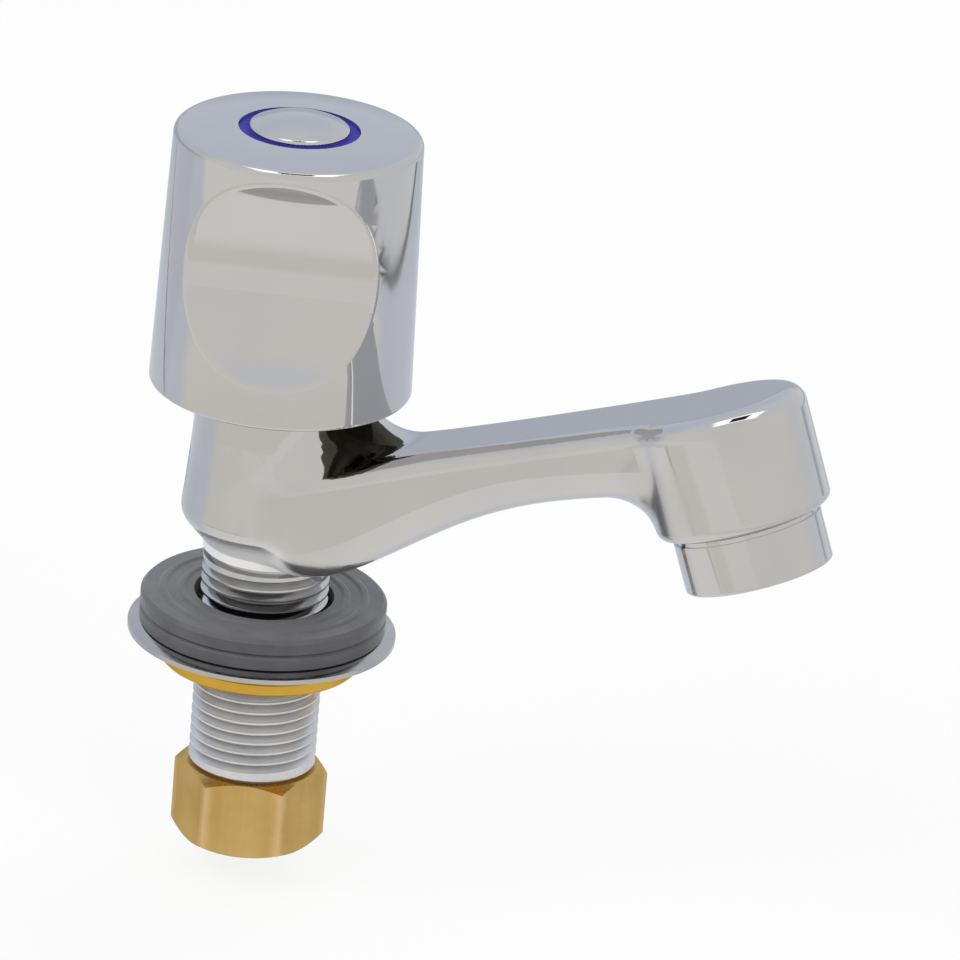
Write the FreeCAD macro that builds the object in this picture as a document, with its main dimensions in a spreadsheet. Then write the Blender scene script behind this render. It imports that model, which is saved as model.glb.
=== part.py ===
import FreeCAD, Part
import math
import os
import Sketcher

# Basin tap, built as separate pieces in one frame, millimetres.
# Origin on the tail axis at the underside of the body, +Z up, +X along the spout.

doc = FreeCAD.newDocument("basin_tap")

# Driving sizes. One row each: alias, value or formula, what it is.
# Heights are measured from the underside of the body; aliases ending in _z are heights.

SIZES = [
    # Shared by several pieces
    ("zero", "0", "plane of the body's underside"),
    ("cut_over", "1.0", "how far a cut runs past the surface it leaves"),
    ("hex_chamfer", "1.1", "height of the chamfer on hexagon corners"),
    ("hex_flat_in", "0.1", "how far inside the flats that chamfer starts"),
    # Tail and its thread
    ("thread_r", "10.4775", "outside radius of the G1/2 tail thread"),
    ("thread_pitch", "1.814", "pitch of the tail thread"),
    ("thread_depth", "1.162", "depth of the tail thread"),
    ("thread_crest", "0.32", "flat left on each thread crest"),
    ("thread_over", "0.25", "how far the cutter starts outside the crest"),
    ("thread_start_z", "-2.4", "middle of the first groove"),
    ("thread_len", "34.4", "length the grooves run over"),
    ("relief_r", "9.6", "radius of the plain neck above the thread"),
    ("relief_len", "1.2", "length of that neck"),
    ("tail_len", "38.2", "length of the tail below the body"),
    ("tail_bore_r", "7.0", "water way radius in the tail"),
    ("tail_lead", "0.7", "chamfer on the tail's end"),
    ("spigot_r", "9.0", "radius of the tail's end held in the body"),
    ("spigot_len", "4.5", "depth of that end in the body"),
    ("spigot_fit", "0.03", "radial clearance of that end"),
    ("seat_bore_r", "5.0", "water way radius through the valve seat"),
    ("seat_lip_r", "6.2", "outside radius of the seat lip"),
    ("seat_lip_h", "0.8", "height of the seat lip"),
    ("seat_floor", "1.0", "height where the wide tail bore ends"),
    # Inlet adapter
    ("adapter_af", "22.0", "across flats of the brass hexagon"),
    ("adapter_h", "13.0", "height of the hexagon"),
    ("adapter_turned", "25.4", "direction of one hexagon corner, degrees"),
    ("adapter_fit", "0.06", "radial clearance of its spigot in the tail"),
    ("adapter_spigot_len", "9.0", "length of the spigot up inside the tail"),
    ("adapter_bore_r", "4.6", "water way radius through the spigot"),
    ("adapter_socket_r", "7.475", "radius of the G3/8 socket for the supply"),
    ("adapter_socket_len", "9.5", "depth of that socket"),
    ("adapter_lead", "0.6", "chamfer at the socket mouth"),
    ("inlet_ring_r", "0.85", "section radius of the inlet O-ring"),
    ("inlet_ring_drop", "4.0", "depth of the O-ring below the spigot's top"),
    # Washers and back nut
    ("rubber_gap", "7.8", "space left between body and upper rubber washer"),
    ("rubber_r", "20.2", "outside radius of both rubber washers"),
    ("rubber_bore_r", "11.5", "bore radius of both rubber washers"),
    ("rubber_h", "2.7", "height of one rubber washer with its ridges"),
    ("ridge_h", "0.3", "height of the moulded ridges"),
    ("ridge_w", "0.6", "width of a ridge's top"),
    ("ridge_slope", "0.5", "width of a ridge's flank"),
    ("ridge_one_r", "13.2", "inner radius of the first ridge's top"),
    ("ridge_two_r", "16.3", "inner radius of the second ridge's top"),
    ("rubber_edge", "0.6", "bevel of the outer edge"),
    ("cup_r", "22.0", "outside radius of the cup washer"),
    ("cup_bore_r", "10.95", "bore radius of the cup washer"),
    ("cup_flat_r", "19.4", "radius where the cup washer's rim turns down"),
    ("cup_sheet", "0.8", "sheet thickness of the cup washer"),
    ("cup_drop", "0.9", "drop of the cup washer's rim"),
    ("nut_fit", "0.10", "radial clearance between nut bore and thread crest"),
    ("nut_af", "27.0", "across flats of the back nut"),
    ("nut_hex_h", "3.2", "height of the back nut's hexagon"),
    ("flange_r", "16.6", "outside radius of the back nut's flange"),
    ("flange_h", "2.4", "thickness of that flange"),
    ("flange_edge", "0.4", "bevel of the flange's edges"),
    # Cast body
    ("foot_r", "10.6", "radius of the body's foot"),
    ("foot_h", "1.4", "height of the foot"),
    ("belly_r", "14.7", "widest radius of the body"),
    ("belly_z", "6.0", "height of the widest point"),
    ("belly_edge", "3.4", "rounding of the widest point"),
    ("neck_r", "13.5", "radius of the body's neck"),
    ("neck_z", "21.6", "height where the neck turns straight"),
    ("body_top_z", "30.0", "top face of the body"),
    ("chamber_r", "10.0", "radius of the valve chamber"),
    # Spout arm, in planes square to the arm
    ("arm_angle", "22.4", "rise of the arm and tilt of the outlet, degrees"),
    ("arm_base_z", "8.1", "height where the arm's middle line crosses the tail axis"),
    ("arm_top", "5.85", "middle line to the top of the arm"),
    ("arm_way_r", "4.3", "water way radius in the arm"),
    ("start_s", "1.0", "distance along the arm of the section inside the body"),
    ("start_w", "21.0", "width there"),
    ("start_low", "8.3", "middle line to the underside there"),
    ("root_s", "8.2", "distance along the arm of the root section"),
    ("root_w", "24.6", "width there"),
    ("root_low", "11.5", "middle line to the underside there"),
    ("haunch_s", "30.0", "distance along the arm of the second section"),
    ("haunch_w", "22.0", "width there"),
    ("haunch_low", "8.65", "middle line to the underside there"),
    ("mid_s", "52.0", "distance along the arm of the third section"),
    ("mid_w", "20.6", "width there"),
    ("mid_low", "5.2", "middle line to the underside there"),
    ("throat_s", "68.0", "distance along the arm of the section before the head"),
    ("throat_w", "21.6", "width there"),
    ("throat_low", "5.6", "middle line to the underside there"),
    ("tip_s", "86.8", "distance along the arm of the last section"),
    ("tip_w", "27.0", "width there"),
    ("tip_low", "6.6", "middle line to the underside there"),
    ("arm_shoulder", "3.0", "radius of the arm's upper edges"),
    ("arm_keel", "5.2", "radius of the arm's lower edges"),
    ("arm_way_from", "8.0", "where the water way starts along the arm"),
    ("arm_blend", "9.5", "rounding where the arm leaves the body"),
    ("head_blend", "9.0", "rounding where the arm meets the head"),
    # Outlet head, in a frame tilted with the outlet
    ("head_x", "85.45", "distance of the head's lower face from the tail axis"),
    ("head_z", "28.95", "height of the centre of that face"),
    ("head_r", "14.0", "radius of the outlet head"),
    ("head_round", "3.0", "rounding of the head's top edge"),
    ("head_lip", "1.6", "rounding of the head's lower edge"),
    ("nipple_r", "11.0", "outside radius of the M22 nipple"),
    ("nipple_len", "5.1", "length of the nipple"),
    ("nipple_top_z", "1.0", "how far the nipple reaches into the head"),
    ("outlet_bore_r", "8.6", "radius of the chamber above the aerator"),
    ("outlet_bore_h", "13.0", "height of that chamber above the head's lower face"),
    # Aerator
    ("housing_r", "11.85", "outside radius of the aerator housing"),
    ("housing_gap", "0.35", "space between head and housing"),
    ("housing_h", "8.8", "height of the housing"),
    ("housing_step", "0.7", "height of the narrow ring at its top"),
    ("housing_step_in", "0.35", "how far that ring stands back"),
    ("housing_fit", "0.06", "radial clearance of the housing on the nipple"),
    ("insert_r", "10.2", "outside radius of the aerator insert"),
    ("insert_h", "1.7", "height of the insert"),
    ("insert_fit", "0.05", "radial clearance of the insert"),
    ("housing_hem", "0.5", "rounding of the housing's lower edge"),
    ("housing_lip_r", "9.3", "radius of the mouth"),
    ("lip_h", "0.8", "thickness of the lip that holds the insert"),
    ("screen_h", "0.3", "thickness of the screen"),
    ("seat_gap", "0.05", "clearance between the turning housing and the parts in it"),
    ("jet_r", "0.95", "radius of the holes in the insert"),
    ("jet_ring_one", "2.6", "radius of the first ring of holes"),
    ("jet_ring_two", "5.1", "radius of the second ring of holes"),
    ("jet_ring_three", "7.6", "radius of the third ring of holes"),
    ("screen_hole_r", "0.6", "radius of the holes in the screen"),
    ("screen_step", "1.65", "distance between the screen's rings of holes"),
    ("seal_in_r", "8.7", "bore radius of the aerator's rubber washer"),
    ("seal_out_r", "10.85", "outside radius of the aerator's rubber washer"),
    # Headwork
    ("bonnet_seal_h", "1.0", "thickness of the seal under the bonnet"),
    ("bonnet_seal_r", "13.0", "outside radius of that seal"),
    ("bonnet_fit", "0.05", "radial clearance of the bonnet in the chamber"),
    ("bonnet_gap", "1.7", "space under the bonnet when the valve is open"),
    ("bonnet_af", "24.0", "across flats of the bonnet"),
    ("bonnet_hex_h", "5.0", "height of the bonnet's hexagon"),
    ("bonnet_neck_r", "8.0", "radius of the bonnet's neck"),
    ("bonnet_top_z", "47.0", "top of the bonnet"),
    ("guide_af", "14.0", "across flats of the guide in the bonnet"),
    ("guide_fit", "0.10", "clearance on each flat of the valve carrier"),
    ("guide_gap", "1.5", "space above the carrier when the valve is open"),
    ("collar_r", "6.5", "radius of the spindle's collar"),
    ("collar_h", "2.4", "height of the collar"),
    ("collar_fit", "0.08", "clearance round and above the collar"),
    ("journal_r", "4.95", "radius of the spindle"),
    ("journal_fit", "0.07", "radial clearance of the spindle"),
    ("stem_r", "4.0", "radius of the spindle's threaded stem"),
    ("stem_fit", "0.08", "radial clearance of the stem in the carrier"),
    ("stem_gap", "0.5", "space under the stem when the valve is open"),
    ("stem_ring_r", "0.9", "section radius of the spindle O-rings"),
    ("stem_ring_one_z", "35.5", "height of the lower O-ring"),
    ("stem_ring_two_z", "41.5", "height of the upper O-ring"),
    ("clip_h", "0.8", "thickness of the circlip"),
    ("clip_r", "6.8", "outside radius of the circlip"),
    ("clip_bore_r", "4.1", "inside radius of the circlip"),
    ("clip_mouth", "3.6", "opening of the circlip"),
    ("clip_play", "0.1", "space between bonnet and circlip"),
    ("journal_over", "1.1", "length of the spindle above the circlip up to the splines"),
    ("spline_r", "3.9", "outside radius of the splines"),
    ("spline_depth", "0.55", "depth of a spline groove"),
    ("spline_half", "0.27", "half width of a spline groove at the crest"),
    ("spline_bare", "1.0", "length of the splines below the bush"),
    ("screw_r", "2.0", "radius of the M4 handle screw"),
    ("screw_len", "10.0", "length of its shank"),
    ("screw_fit", "0.02", "clearance of the shank in the spindle"),
    ("tap_depth", "12.0", "depth of the tapped hole in the spindle"),
    ("valve_lift", "4.5", "travel of the valve"),
    ("carrier_disc_r", "7.3", "radius of the valve carrier's disc"),
    ("carrier_disc_h", "2.0", "thickness of that disc"),
    ("carrier_top_z", "22.0", "top of the valve carrier"),
    ("jumper_r", "7.0", "radius of the jumper washer"),
    ("jumper_h", "2.5", "thickness of the jumper washer"),
    ("jumper_screw_r", "1.5", "radius of the jumper screw"),
    ("jumper_head_r", "3.0", "radius of its head"),
    ("jumper_head_h", "1.2", "height of its head"),
    ("jumper_bite", "2.6", "depth of the screw in the carrier"),
    ("carrier_web", "0.8", "metal between that screw and the stem's bore"),
    # Handle
    ("handle_low_z", "28.8", "lower edge of the handle"),
    ("handle_h", "43.0", "height of the handle's wall"),
    ("handle_low_r", "21.3", "radius at the lower edge"),
    ("handle_taper", "1.3", "how much narrower the handle is at its top edge"),
    ("handle_crown", "0.7", "rise of the top face to the index ring"),
    ("handle_crown_r", "76.0", "radius of the crowned top face"),
    ("handle_edge", "1.3", "rounding of the top edge"),
    ("handle_hem", "0.6", "rounding of the lower edge"),
    ("handle_turned", "-65.0", "direction the dishes face, degrees"),
    ("skirt_wall", "2.7", "wall of the skirt at the lower edge"),
    ("skirt_z", "34.5", "height where the skirt's bore ends"),
    ("hex_room_r", "15.2", "radius of the space round the bonnet"),
    ("hex_room_gap", "2.2", "space above the bonnet's hexagon"),
    ("neck_room_r", "11.0", "radius of the space round the bonnet's neck"),
    ("bush_r", "8.0", "radius of the splined bush"),
    ("bush_room", "0.4", "space above the spindle in the bush"),
    ("bush_fit", "0.06", "clearance of the bush on the splines"),
    ("bush_web", "1.6", "thickness of the web under the screw head"),
    ("bush_hole_r", "2.2", "hole for the handle screw"),
    ("screw_head_r", "3.7", "radius of the handle screw's head"),
    ("screw_head_h", "2.4", "height of the handle screw's head"),
    ("slot_w", "1.1", "width of the screw's slot"),
    ("slot_d", "1.1", "depth of the screw's slot"),
    ("dish_sink", "6.76", "depth of a dish in the handle's side"),
    ("dish_over", "1.64", "height left between a dish and the top edge"),
    ("dish_under", "7.44", "height left between a dish and the lower edge"),
    ("dish_edge", "1.4", "rounding of a dish's edge"),
    ("index_r", "9.8", "radius of the recess for the index ring"),
    ("index_depth", "3.0", "depth of that recess"),
    ("index_fit", "0.05", "clearance of the index ring"),
    ("ring_sink", "0.5", "how far the index ring lies below the rim"),
    ("plug_r", "6.2", "bore radius for the index button's plug"),
    ("plug_fit", "0.06", "clearance of the plug"),
    ("plug_len", "3.9", "length of the plug below the index ring"),
    ("plug_gap", "1.2", "space between the screw head and the plug"),
    ("plug_wall", "1.2", "wall of the hollow plug"),
    ("button_r", "8.1", "radius of the index button"),
    ("button_rim", "0.9", "height of the button's rim"),
    ("button_dome", "1.95", "rise of the button's dome"),
    ("button_edge", "0.7", "rounding of the button's rim"),
    # Worked out from the sizes above
    ("spigot_bore_r", "=spigot_r + spigot_fit", ""),
    ("thread_root_r", "=thread_r - thread_depth", ""),
    ("thread_cut_r", "=thread_r + thread_over", ""),
    ("thread_half", "=(thread_pitch - thread_crest) / 2", ""),
    ("thread_mouth", "=thread_half * (thread_depth + thread_over) / thread_depth", ""),
    ("thread_hi_z", "=thread_start_z + thread_mouth", ""),
    ("thread_lo_z", "=thread_start_z - thread_mouth", ""),
    ("relief_z", "=-relief_len", ""),
    ("tail_end_z", "=-tail_len", ""),
    ("tail_lead_z", "=tail_lead - tail_len", ""),
    ("tail_lead_r", "=thread_r - tail_lead", ""),
    ("seat_top_z", "=spigot_len + seat_lip_h", ""),
    ("adapter_corner", "=adapter_af / sqrt(3)", ""),
    ("adapter_end_z", "=tail_end_z - adapter_h", ""),
    ("adapter_spigot_r", "=tail_bore_r - adapter_fit", ""),
    ("adapter_top_z", "=tail_end_z + adapter_spigot_len", ""),
    ("adapter_socket_z", "=adapter_end_z + adapter_socket_len", ""),
    ("adapter_mouth_z", "=adapter_end_z + adapter_lead", ""),
    ("adapter_mouth_r", "=adapter_socket_r + adapter_lead", ""),
    ("adapter_face_r", "=adapter_af / 2 - hex_flat_in", ""),
    ("adapter_cut_r", "=adapter_corner + cut_over", ""),
    ("adapter_cut_hi", "=tail_end_z - hex_chamfer * (adapter_cut_r - adapter_face_r)"
     " / (adapter_corner - adapter_face_r)", ""),
    ("adapter_cut_lo", "=adapter_end_z + hex_chamfer * (adapter_cut_r - adapter_face_r)"
     " / (adapter_corner - adapter_face_r)", ""),
    ("inlet_ring_z", "=adapter_top_z - inlet_ring_drop", ""),
    ("inlet_ring_mid_r", "=tail_bore_r - inlet_ring_r", ""),
    ("inlet_groove_r", "=tail_bore_r - 2 * inlet_ring_r", ""),
    ("inlet_groove_hi", "=inlet_ring_z + inlet_ring_r", ""),
    ("inlet_groove_lo", "=inlet_ring_z - inlet_ring_r", ""),
    ("upper_rubber_z", "=-rubber_gap - rubber_h", ""),
    ("lower_rubber_z", "=upper_rubber_z - rubber_h", ""),
    ("cup_low_z", "=lower_rubber_z - cup_sheet", ""),
    ("cup_rim_z", "=lower_rubber_z - cup_drop", ""),
    ("cup_rim_low_z", "=cup_rim_z - cup_sheet", ""),
    ("nut_bore_r", "=thread_r + nut_fit", ""),
    ("nut_corner", "=nut_af / sqrt(3)", ""),
    ("nut_flange_z", "=cup_low_z - nut_hex_h", ""),
    ("nut_end_z", "=nut_flange_z - flange_h", ""),
    ("nut_face_r", "=nut_af / 2 - hex_flat_in", ""),
    ("nut_cut_r", "=nut_corner + cut_over", ""),
    ("nut_cut_z", "=cup_low_z - hex_chamfer * (nut_cut_r - nut_face_r)"
     " / (nut_corner - nut_face_r)", ""),
    ("flange_in_r", "=flange_r - flange_edge", ""),
    ("flange_hi_z", "=nut_flange_z - flange_edge", ""),
    ("flange_lo_z", "=nut_end_z + flange_edge", ""),
    ("nut_lead_r", "=nut_bore_r + flange_edge", ""),
    ("head_h", "=arm_top + head_x * sin(arm_angle * 1deg)"
     " - (head_z - arm_base_z) * cos(arm_angle * 1deg)", ""),
    ("head_side_h", "=head_h - head_round", ""),
    ("head_foot_r", "=head_r - head_lip", ""),
    ("head_flat_r", "=head_r - head_round", ""),
    ("arm_way_len", "=tip_s - arm_way_from - outlet_bore_r / 2", ""),
    ("housing_hi_z", "=-housing_gap", ""),
    ("housing_lo_z", "=-housing_gap - housing_h", ""),
    ("housing_step_z", "=-housing_gap - housing_step", ""),
    ("housing_step_r", "=housing_r - housing_step_in", ""),
    ("housing_bore_r", "=nipple_r + housing_fit", ""),
    ("housing_floor_z", "=housing_lo_z + lip_h", ""),
    ("insert_bore_r", "=insert_r + insert_fit", ""),
    ("screen_low_z", "=housing_floor_z + seat_gap", ""),
    ("screen_top_z", "=screen_low_z + screen_h", ""),
    ("insert_top_z", "=screen_top_z + insert_h", ""),
    ("housing_ledge_z", "=insert_top_z - seat_gap", ""),
    ("nipple_end_z", "=-nipple_len", ""),
    ("carrier_low_z", "=seat_top_z + jumper_h", ""),
    ("carrier_disc_z", "=carrier_low_z + carrier_disc_h", ""),
    ("bonnet_low_z", "=carrier_disc_z + valve_lift + bonnet_gap", ""),
    ("guide_top_z", "=carrier_top_z + valve_lift + guide_gap", ""),
    ("bonnet_seat_z", "=body_top_z + bonnet_seal_h", ""),
    ("bonnet_hex_z", "=bonnet_seat_z + bonnet_hex_h", ""),
    ("bonnet_skirt_r", "=chamber_r - bonnet_fit", ""),
    ("bonnet_corner", "=bonnet_af / sqrt(3)", ""),
    ("bonnet_face_r", "=bonnet_af / 2 - hex_flat_in", ""),
    ("bonnet_cut_r", "=bonnet_corner + cut_over", ""),
    ("bonnet_cut_z", "=bonnet_hex_z - hex_chamfer * (bonnet_cut_r - bonnet_face_r)"
     " / (bonnet_corner - bonnet_face_r)", ""),
    ("guide_corner", "=guide_af / sqrt(3)", ""),
    ("collar_room_r", "=collar_r + collar_fit", ""),
    ("collar_low_z", "=guide_top_z + collar_fit", ""),
    ("collar_top_z", "=collar_low_z + collar_h", ""),
    ("collar_room_z", "=collar_top_z + collar_fit", ""),
    ("spindle_bore_r", "=journal_r + journal_fit", ""),
    ("stem_groove_r", "=spindle_bore_r - 2 * stem_ring_r", ""),
    ("stem_ring_mid_r", "=spindle_bore_r - stem_ring_r", ""),
    ("ring_one_lo", "=stem_ring_one_z - stem_ring_r", ""),
    ("ring_one_hi", "=stem_ring_one_z + stem_ring_r", ""),
    ("ring_two_lo", "=stem_ring_two_z - stem_ring_r", ""),
    ("ring_two_hi", "=stem_ring_two_z + stem_ring_r", ""),
    ("clip_low_z", "=bonnet_top_z + clip_play", ""),
    ("clip_top_z", "=clip_low_z + clip_h", ""),
    ("clip_half", "=clip_mouth / 2", ""),
    ("clip_down", "=-clip_half", ""),
    ("clip_reach", "=clip_r + cut_over", ""),
    ("journal_top_z", "=clip_top_z + journal_over", ""),
    ("neck_room_z", "=journal_top_z + spline_bare", ""),
    ("spindle_top_z", "=bush_room_z - bush_room", ""),
    ("bush_room_z", "=bush_top_z - bush_web", ""),
    ("bush_top_z", "=screw_head_z - screw_head_h", ""),
    ("hex_room_z", "=bonnet_hex_z + hex_room_gap", ""),
    ("spline_root_r", "=spline_r - spline_depth", ""),
    ("spline_len", "=spindle_top_z - journal_top_z", ""),
    ("spline_out_r", "=spline_r + cut_over", ""),
    ("spline_out_half", "=spline_half * (spline_depth + cut_over) / spline_depth", ""),
    ("spline_down", "=-spline_out_half", ""),
    ("tap_r", "=screw_r + screw_fit", ""),
    ("tap_low_z", "=spindle_top_z - tap_depth", ""),
    ("carrier_corner", "=(guide_af - 2 * guide_fit) / sqrt(3)", ""),
    ("carrier_bore_r", "=stem_r + stem_fit", ""),
    ("carrier_screw_z", "=carrier_low_z + jumper_bite", ""),
    ("carrier_bore_z", "=carrier_screw_z + carrier_web", ""),
    ("stem_low_z", "=carrier_bore_z + valve_lift + stem_gap", ""),
    ("carrier_hex_h", "=carrier_top_z - carrier_disc_z", ""),
    ("jumper_head_z", "=seat_top_z - jumper_head_h", ""),
    ("handle_top_z", "=handle_low_z + handle_h", ""),
    ("handle_top_r", "=handle_low_r - handle_taper", ""),
    ("skirt_r", "=handle_low_r - skirt_wall", ""),
    ("crown_z", "=handle_top_z + handle_crown", ""),
    ("index_floor_z", "=crown_z - index_depth", ""),
    ("dish_half", "=(handle_h - dish_over - dish_under) / 2", ""),
    ("dish_z", "=handle_low_z + dish_under + dish_half", ""),
    ("dish_mid_r", "=handle_low_r - handle_taper * (dish_z - handle_low_z) / handle_h", ""),
    ("dish_depth_r", "=dish_mid_r - dish_sink", ""),
    ("dish_round", "=(dish_half * dish_half + dish_sink * dish_sink) / (2 * dish_sink)", ""),
    ("dish_far", "=dish_depth_r + dish_round", ""),
    ("dish_span", "=2 * (handle_low_r + cut_over)", ""),
    ("bush_spline_r", "=spline_r + bush_fit", ""),
    ("screw_low_z", "=bush_top_z - screw_len", ""),
    ("screw_head_z", "=plug_low_z - plug_gap", ""),
    ("slot_half", "=slot_w / 2", ""),
    ("slot_down", "=-slot_half", ""),
    ("slot_right", "=screw_head_r + cut_over", ""),
    ("slot_left", "=-slot_right", ""),
    ("plug_low_z", "=index_floor_z - plug_len", ""),
    ("index_ring_r", "=index_r - index_fit", ""),
    ("index_ring_z", "=crown_z - ring_sink", ""),
    ("plug_out_r", "=plug_r - plug_fit", ""),
    ("plug_in_r", "=plug_out_r - plug_wall", ""),
    ("button_low_z", "=index_ring_z", ""),
    ("button_rim_z", "=button_low_z + button_rim", ""),
    ("button_top_z", "=button_rim_z + button_dome", ""),
    ("button_dome_r", "=(button_r * button_r + button_dome * button_dome) / (2 * button_dome)", ""),
    ("plug_top_z", "=button_low_z - plug_wall", ""),
    ("screen_ring_one", "=screen_step", ""),
    ("screen_ring_two", "=2 * screen_step", ""),
    ("screen_ring_three", "=3 * screen_step", ""),
    ("screen_ring_four", "=4 * screen_step", ""),
    ("screen_ring_five", "=5 * screen_step", ""),
    ("rubber_flat", "=rubber_h - ridge_h", ""),
    ("rubber_bevel", "=rubber_flat - rubber_edge", ""),
    ("rubber_in_r", "=rubber_r - rubber_edge", ""),
    ("ridge_one_a", "=ridge_one_r - ridge_slope", ""),
    ("ridge_one_b", "=ridge_one_r + ridge_w", ""),
    ("ridge_one_c", "=ridge_one_b + ridge_slope", ""),
    ("ridge_two_a", "=ridge_two_r - ridge_slope", ""),
    ("ridge_two_b", "=ridge_two_r + ridge_w", ""),
    ("ridge_two_c", "=ridge_two_b + ridge_slope", ""),
]

# Counts of repeated features

SPLINES = 20
DISHES = 2
JET_RINGS = [(None, 1), ("jet_ring_one", 6), ("jet_ring_two", 12), ("jet_ring_three", 18)]
SCREEN_RINGS = [
    (None, 1), ("screen_ring_one", 6), ("screen_ring_two", 12), ("screen_ring_three", 18),
    ("screen_ring_four", 24), ("screen_ring_five", 30)]

sheet = doc.addObject("Spreadsheet::Sheet", "Sizes")
for row, (alias, value, note) in enumerate(SIZES, start=1):
    sheet.set("A%d" % row, alias)
    sheet.set("B%d" % row, value)
    sheet.set("C%d" % row, note)
    sheet.setAlias("B%d" % row, alias)
doc.recompute()


def size(alias):
    """The number that a named size has now."""
    return float(sheet.get(alias))


# Helpers for sketches and features


def new_body(label):
    body = doc.addObject("PartDesign::Body", label)
    body.Label = label
    return body


def plane_of(body, role):
    for feature in body.Origin.OriginFeatures:
        if feature.Role == role:
            return feature
    raise ValueError(role)


def new_sketch(body, role, label):
    sketch = body.newObject("Sketcher::SketchObject", label)
    sketch.AttachmentSupport = [(plane_of(body, role), "")]
    sketch.MapMode = "FlatFace"
    return sketch


def bind(sketch, index, alias):
    sketch.setExpression("Constraints[%d]" % index, "Sizes.%s" % alias)


def pin_point(sketch, line, end, across, up):
    """Hold one point of a sketch at two named sizes; None means on the axis."""
    if across is None:
        sketch.addConstraint(Sketcher.Constraint("PointOnObject", line, end, -2))
    else:
        index = sketch.addConstraint(
            Sketcher.Constraint("DistanceX", -1, 1, line, end, size(across)))
        bind(sketch, index, across)
    index = sketch.addConstraint(
        Sketcher.Constraint("DistanceY", -1, 1, line, end, size(up)))
    bind(sketch, index, up)


def bulged(start, end, radius):
    """Arc from start to end with a given radius; a positive radius bulges to the right of the way."""
    chord = end.sub(start)
    half = chord.Length / 2
    side = 1 if radius > 0 else -1
    reach = math.sqrt(max(radius * radius - half * half, 0))
    left = FreeCAD.Vector(-chord.y, chord.x, 0).normalize()
    centre = (start + end) * 0.5 + left * (reach * side)
    middle = centre - left * (abs(radius) * side)
    return Part.Arc(start, middle, end)


def outline(sketch, corners, arcs=None):
    """Closed profile through named corners; arcs maps a corner's index to (radius alias, side)."""
    arcs = arcs or {}
    spots = [FreeCAD.Vector(0 if a is None else size(a), size(u), 0) for a, u in corners]
    count = len(corners)
    lines = []
    for i, spot in enumerate(spots):
        after = spots[(i + 1) % count]
        if i in arcs:
            alias, side = arcs[i]
            shape = bulged(spot, after, size(alias) * side)
            lines.append((sketch.addGeometry(shape, False), shape))
        else:
            lines.append((sketch.addGeometry(Part.LineSegment(spot, after), False), None))
    ends = []
    for (index, shape), spot in zip(lines, spots):
        if shape is None:
            ends.append((1, 2))
        else:
            first = sketch.getPoint(index, 1)
            ends.append((1, 2) if first.sub(spot).Length < 1e-6 else (2, 1))
    for i in range(count):
        j = (i + 1) % count
        sketch.addConstraint(Sketcher.Constraint(
            "Coincident", lines[i][0], ends[i][1], lines[j][0], ends[j][0]))
    for i, (across, up) in enumerate(corners):
        pin_point(sketch, lines[i][0], ends[i][0], across, up)
    for i, (alias, side) in arcs.items():
        index = sketch.addConstraint(Sketcher.Constraint("Radius", lines[i][0], size(alias)))
        bind(sketch, index, alias)


def spin(body, kind, sketch):
    """Turn a profile once round the body's upright axis."""
    feature = body.newObject(kind, sketch.Name + "_spin")
    feature.Profile = sketch
    feature.ReferenceAxis = (sketch, ["V_Axis"])
    feature.Angle = 360
    sketch.Visibility = False
    return feature


def turned(body, label, corners, arcs=None, cut=False):
    sketch = new_sketch(body, "XZ_Plane", label)
    outline(sketch, corners, arcs)
    return spin(body, "PartDesign::Groove" if cut else "PartDesign::Revolution", sketch)


def hexagon(body, label, corner, low, height, cut=False, turned_by=None):
    """Upright six-sided prism from a named height."""
    kind = "PartDesign::SubtractivePrism" if cut else "PartDesign::AdditivePrism"
    prism = body.newObject(kind, label)
    prism.Polygon = 6
    prism.setExpression("Circumradius", "Sizes.%s" % corner)
    prism.setExpression("Height", height)
    prism.AttachmentSupport = [(plane_of(body, "XY_Plane"), "")]
    prism.MapMode = "FlatFace"
    prism.setExpression("AttachmentOffset.Base.z", "Sizes.%s" % low)
    if turned_by:
        prism.setExpression("AttachmentOffset.Rotation.Angle", "Sizes.%s * 1deg" % turned_by)
    return prism


def circle_at(sketch, across, radius):
    """Circle on the sketch's own x axis, held by two named sizes."""
    x = 0 if across is None else size(across)
    index = sketch.addGeometry(
        Part.Circle(FreeCAD.Vector(x, 0, 0), FreeCAD.Vector(0, 0, 1), size(radius)), False)
    if across is None:
        sketch.addConstraint(Sketcher.Constraint("Coincident", index, 3, -1, 1))
    else:
        sketch.addConstraint(Sketcher.Constraint("PointOnObject", index, 3, -1))
        bind(sketch, sketch.addConstraint(
            Sketcher.Constraint("DistanceX", -1, 1, index, 3, x)), across)
    bind(sketch, sketch.addConstraint(Sketcher.Constraint("Radius", index, size(radius))), radius)


def extrude(body, kind, sketch, length, reverse=False, midplane=False):
    feature = body.newObject(kind, sketch.Name + "_run")
    feature.Profile = sketch
    feature.setExpression("Length", length)
    feature.Reversed = reverse
    if midplane:
        feature.SideType = "Symmetric"
    sketch.Visibility = False
    return feature


def around(body, feature, count):
    """Repeat a feature round the upright axis."""
    pattern = body.newObject("PartDesign::PolarPattern", feature.Name + "_ring")
    pattern.Originals = [feature]
    axis = [f for f in body.Origin.OriginFeatures if f.Role == "Z_Axis"][0]
    pattern.Axis = (axis, [""])
    pattern.Angle = 360
    pattern.Occurrences = count
    body.Tip = pattern
    return pattern


def soften(body, base, radius, wanted):
    """Round the edges that the test picks out."""
    solid = base.Shape
    names = ["Edge%d" % (i + 1) for i, edge in enumerate(solid.Edges) if wanted(solid, edge)]
    feature = body.newObject("PartDesign::Fillet", base.Name + "_soft")
    feature.Base = (base, names)
    feature.setExpression("Radius", "Sizes.%s" % radius)
    return feature


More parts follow.
